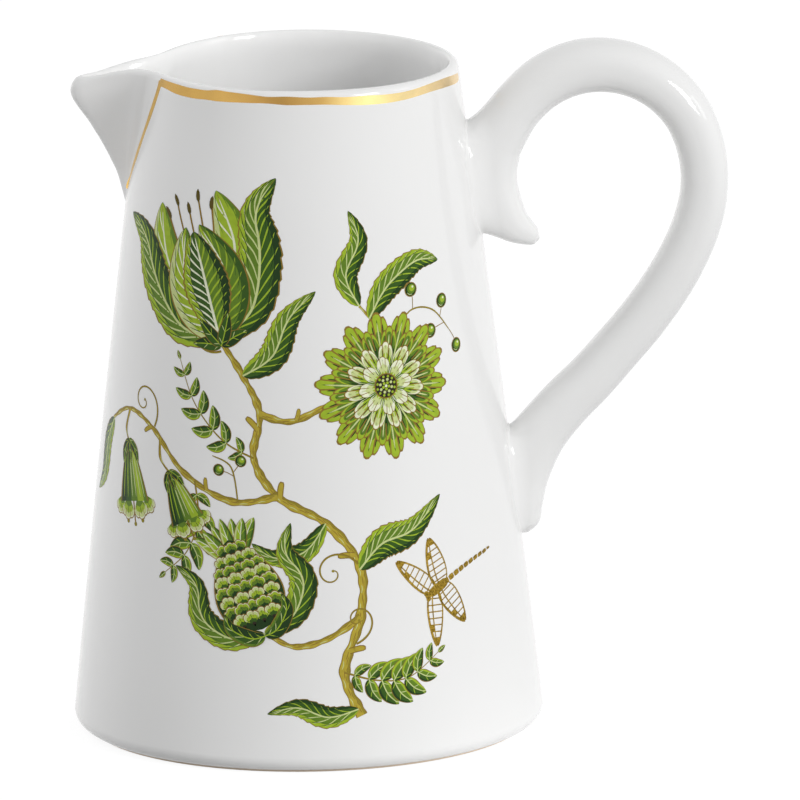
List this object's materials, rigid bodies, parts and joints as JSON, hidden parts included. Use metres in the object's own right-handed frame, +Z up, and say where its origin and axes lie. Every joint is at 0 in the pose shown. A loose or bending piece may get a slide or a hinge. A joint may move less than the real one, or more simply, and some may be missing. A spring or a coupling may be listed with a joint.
{
  "type": "pitcher",
  "caption": "Tapered glazed ceramic pitcher with a V-shaped pouring lip, a scrolled loop handle with a curled tail, and gilded rim lines.",
  "frame": {"origin": "centre of the foot ring's underside, on the table", "axes": "+Z up along the body's axis, +X from the axis towards the handle, -X towards the pouring lip"},
  "size_m": [0.1956, 0.139, 0.2051],
  "materials": {
    "glaze": "gloss",
    "biscuit": "matte",
    "gilding": "satin"
  },
  "bodies": {
    "root": {"body": "glaze", "foot_ring": "biscuit", "pouring_lip": "glaze", "handle": "glaze", "upper_luting": "glaze", "lower_luting": "glaze", "rim_band_front": "gilding", "rim_band_back": "gilding", "lip_line_front": "gilding", "lip_line_back": "gilding"}
  },
  "joints": []
}
